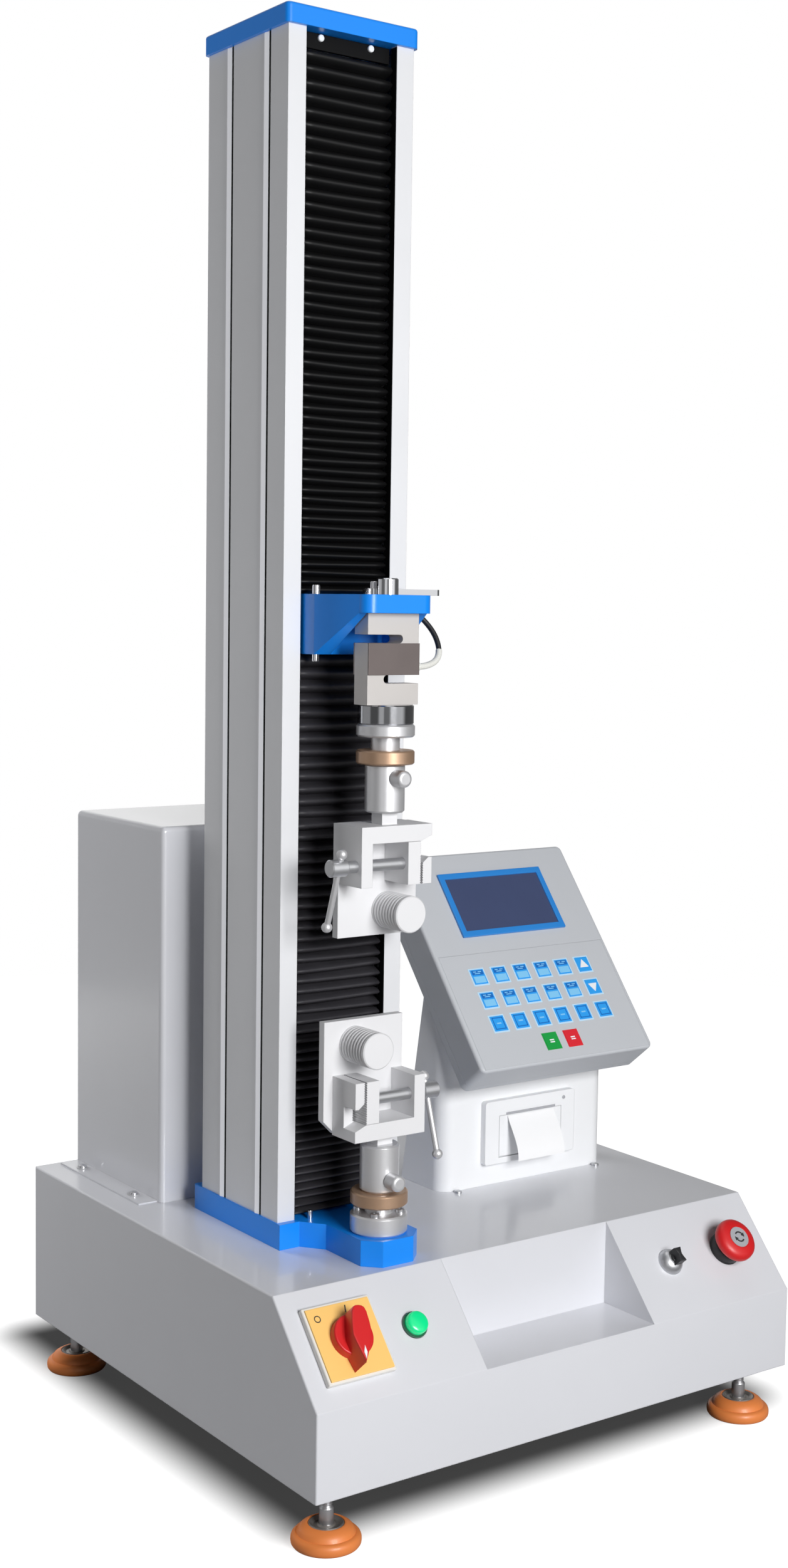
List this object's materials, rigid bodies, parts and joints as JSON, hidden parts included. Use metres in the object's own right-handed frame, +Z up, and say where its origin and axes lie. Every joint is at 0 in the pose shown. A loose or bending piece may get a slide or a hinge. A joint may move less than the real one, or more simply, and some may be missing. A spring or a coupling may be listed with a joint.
{
  "type": "universal testing machine",
  "caption": "Single-column bench tensile tester: bellows-covered column on a cabinet base, crosshead with load cell, bollard vice grips, and a tilted keypad console with a paper printer.",
  "frame": {"origin": "on the bench surface below the middle of the whole object's plan box", "axes": "+X to the operator's right, +Y to the back, +Z up along the column"},
  "size_m": [0.52, 0.5072, 1.2284],
  "materials": {
    "cabinet_paint": "pale grey powder coat, fine texture",
    "plate_zinc": "zinc-plated sheet",
    "column_anodised": "satin anodised extrusion",
    "blue_paint": "smooth blue enamel",
    "bellows_black": "matt coated pleated cloth",
    "ground_steel": "ground steel",
    "grip_silver": "bead-blasted satin silver",
    "chromed_steel": "polished chrome plate",
    "bronze": "turned bronze",
    "foot_orange": "moulded orange plastic on a steel stud",
    "cast_motor": "black painted motor",
    "belt_rubber": "toothed belt rubber",
    "lead_jacket": "round cable jacket",
    "switch_yellow": "yellow-orange moulded plate",
    "signal_red": "moulded red",
    "lamp_green": "translucent green lens",
    "black_plastic": "black moulded plastic",
    "console_grey": "light grey moulded plastic",
    "console_white": "off-white moulded plastic",
    "keypad_blue": "printed polyester membrane",
    "display_blue": "blue bezel round a slate-blue panel"
  },
  "bodies": {
    "frame": {"base_cabinet": "cabinet_paint", "base_floor_plate": "plate_zinc", "column_extrusion": "column_anodised", "column_top_cap": "blue_paint", "column_base_plate": "blue_paint", "screw_bearings": "ground_steel", "drive_motor": "cast_motor", "motor_cover": "cabinet_paint", "upper_bellows": "bellows_black", "lower_bellows": "bellows_black", "drive_belt": "belt_rubber", "drive_electronics": "plate_zinc", "power_switch_plate": "switch_yellow", "pilot_lamp": "lamp_green", "selector_bezel": "chromed_steel", "estop_collar": "black_plastic", "console_pedestal": "console_white", "console_housing": "console_grey", "console_back_cover": "console_grey", "keypad_membrane": "keypad_blue", "display_module": "display_blue", "printer_frame": "console_white", "lower_flange": "ground_steel", "lower_socket": "ground_steel", "lower_grip_frame": "grip_silver", "lower_bollard": "ground_steel"},
    "crosshead": {"crosshead_bracket": "blue_paint", "load_cell_clamp": "chromed_steel", "crosshead_carriage": "column_anodised", "ball_nut": "ground_steel", "load_cell": "grip_silver", "load_cell_covers": "grip_silver", "load_cell_cable": "lead_jacket", "upper_coupling": "chromed_steel", "upper_flange": "ground_steel", "upper_socket": "ground_steel", "upper_grip_frame": "grip_silver", "upper_bollard": "ground_steel"},
    "ball_screw": {"ball_screw": "ground_steel", "screw_pulley": "column_anodised"},
    "motor_pulley": {"motor_pulley": "ground_steel"},
    "upper_jaw": {"upper_jaw": "ground_steel"},
    "upper_clamp_screw": {"upper_clamp_screw": "ground_steel"},
    "upper_tommy_bar": {"upper_tommy_bar": "chromed_steel"},
    "upper_lock_nut": {"upper_lock_nut": "bronze"},
    "upper_pin": {"upper_pin": "chromed_steel"},
    "lower_jaw": {"lower_jaw": "ground_steel"},
    "lower_clamp_screw": {"lower_clamp_screw": "ground_steel"},
    "lower_tommy_bar": {"lower_tommy_bar": "chromed_steel"},
    "lower_lock_nut": {"lower_lock_nut": "bronze"},
    "lower_pin": {"lower_pin": "chromed_steel"},
    "power_switch_knob": {"power_switch_knob": "signal_red"},
    "selector_lever": {"selector_lever": "black_plastic"},
    "estop_plunger": {"estop_plunger": "black_plastic"},
    "estop_head": {"estop_head": "signal_red"},
    "printer_door": {"printer_door": "console_white"},
    "foot_front_left": {"levelling_foot_front_left": "foot_orange"},
    "foot_front_right": {"levelling_foot_front_right": "foot_orange"},
    "foot_rear_left": {"levelling_foot_rear_left": "foot_orange"},
    "foot_rear_right": {"levelling_foot_rear_right": "foot_orange"}
  },
  "joints": [
    {"name": "crosshead_slide", "type": "slide", "parent": "frame", "child": "crosshead", "axis": [0, 0, 1], "range_m": [-0.065, 0.29], "deforming": ["upper_bellows", "lower_bellows"]},
    {"name": "ball_screw_spin", "type": "hinge", "parent": "frame", "child": "ball_screw", "pos_m": [-0.132, -0.0235, 0.7], "axis": [0, 0, 1], "range_deg": [-10500, 2400]},
    {"name": "motor_pulley_spin", "type": "hinge", "parent": "frame", "child": "motor_pulley", "pos_m": [-0.132, 0.16425, 0.163], "axis": [0, 0, 1], "range_deg": [-21000, 4800]},
    {"name": "upper_jaw_slide", "type": "slide", "parent": "crosshead", "child": "upper_jaw", "axis": [1, 0, 0], "range_m": [-0.0141, 0.0014]},
    {"name": "upper_screw_turn", "type": "hinge", "parent": "upper_jaw", "child": "upper_clamp_screw", "pos_m": [-0.132, -0.156, 0.531], "axis": [1, 0, 0], "range_deg": [-2520, 234]},
    {"name": "upper_tommy_slide", "type": "slide", "parent": "upper_clamp_screw", "child": "upper_tommy_bar", "axis": [0, -0.3173, 0.9483], "range_m": [0, 0.0415]},
    {"name": "upper_lock_nut_turn", "type": "hinge", "parent": "crosshead", "child": "upper_lock_nut", "pos_m": [-0.132, -0.148, 0.619], "axis": [0, 0, 1], "range_deg": [-180, 180]},
    {"name": "upper_pin_pull", "type": "slide", "parent": "crosshead", "child": "upper_pin", "axis": [0, -1, 0], "range_m": [0, 0.05]},
    {"name": "lower_jaw_slide", "type": "slide", "parent": "frame", "child": "lower_jaw", "axis": [-1, 0, 0], "range_m": [-0.0141, 0.0014]},
    {"name": "lower_screw_turn", "type": "hinge", "parent": "lower_jaw", "child": "lower_clamp_screw", "pos_m": [-0.132, -0.156, 0.3353], "axis": [-1, 0, 0], "range_deg": [-2520, 234]},
    {"name": "lower_tommy_slide", "type": "slide", "parent": "lower_clamp_screw", "child": "lower_tommy_bar", "axis": [0, 0.3173, 0.9483], "range_m": [0, 0.0415]},
    {"name": "lower_lock_nut_turn", "type": "hinge", "parent": "frame", "child": "lower_lock_nut", "pos_m": [-0.132, -0.148, 0.2473], "axis": [0, 0, 1], "range_deg": [-180, 180]},
    {"name": "lower_pin_pull", "type": "slide", "parent": "frame", "child": "lower_pin", "axis": [0, -1, 0], "range_m": [0, 0.05]},
    {"name": "power_switch_turn", "type": "hinge", "parent": "frame", "child": "power_switch_knob", "pos_m": [-0.21083, -0.217, 0.15975], "axis": [0, 0.7485, -0.6631], "range_deg": [0, 90]},
    {"name": "selector_turn", "type": "hinge", "parent": "frame", "child": "selector_lever", "pos_m": [0.14092, -0.217, 0.15975], "axis": [0, 0.7485, -0.6631], "range_deg": [0, 60]},
    {"name": "estop_press", "type": "slide", "parent": "frame", "child": "estop_plunger", "axis": [0, 0.7485, -0.6631], "range_m": [0, 0.005], "stiffness_N_per_m": 800, "springref_m": -0.004},
    {"name": "estop_twist", "type": "hinge", "parent": "estop_plunger", "child": "estop_head", "pos_m": [0.20899, -0.217, 0.15975], "axis": [0, 0.7485, -0.6631], "range_deg": [0, 45], "stiffness_Nm_per_rad": 0.05, "springref_deg": -11.46},
    {"name": "printer_door_swing", "type": "hinge", "parent": "frame", "child": "printer_door", "pos_m": [0.119, -0.042, 0.226], "axis": [1, 0, 0], "range_deg": [0, 85]},
    {"name": "foot_front_left_turn", "type": "hinge", "parent": "frame", "child": "foot_front_left", "pos_m": [-0.23, -0.22, 0.05], "axis": [0, 0, 1], "range_deg": [-180, 180]},
    {"name": "foot_front_right_turn", "type": "hinge", "parent": "frame", "child": "foot_front_right", "pos_m": [0.23, -0.22, 0.05], "axis": [0, 0, 1], "range_deg": [-180, 180]},
    {"name": "foot_rear_left_turn", "type": "hinge", "parent": "frame", "child": "foot_rear_left", "pos_m": [-0.23, 0.22, 0.05], "axis": [0, 0, 1], "range_deg": [-180, 180]},
    {"name": "foot_rear_right_turn", "type": "hinge", "parent": "frame", "child": "foot_rear_right", "pos_m": [0.23, 0.22, 0.05], "axis": [0, 0, 1], "range_deg": [-180, 180]}
  ],
  "couplings": [
    {"joint": "ball_screw_spin", "follows": "crosshead_slide", "rad_per_m": -628.32},
    {"joint": "motor_pulley_spin", "follows": "crosshead_slide", "rad_per_m": -1256.6},
    {"joint": "upper_jaw_slide", "follows": "upper_screw_turn", "m_per_rad": 0.00031831},
    {"joint": "lower_jaw_slide", "follows": "lower_screw_turn", "m_per_rad": 0.00031831}
  ]
}
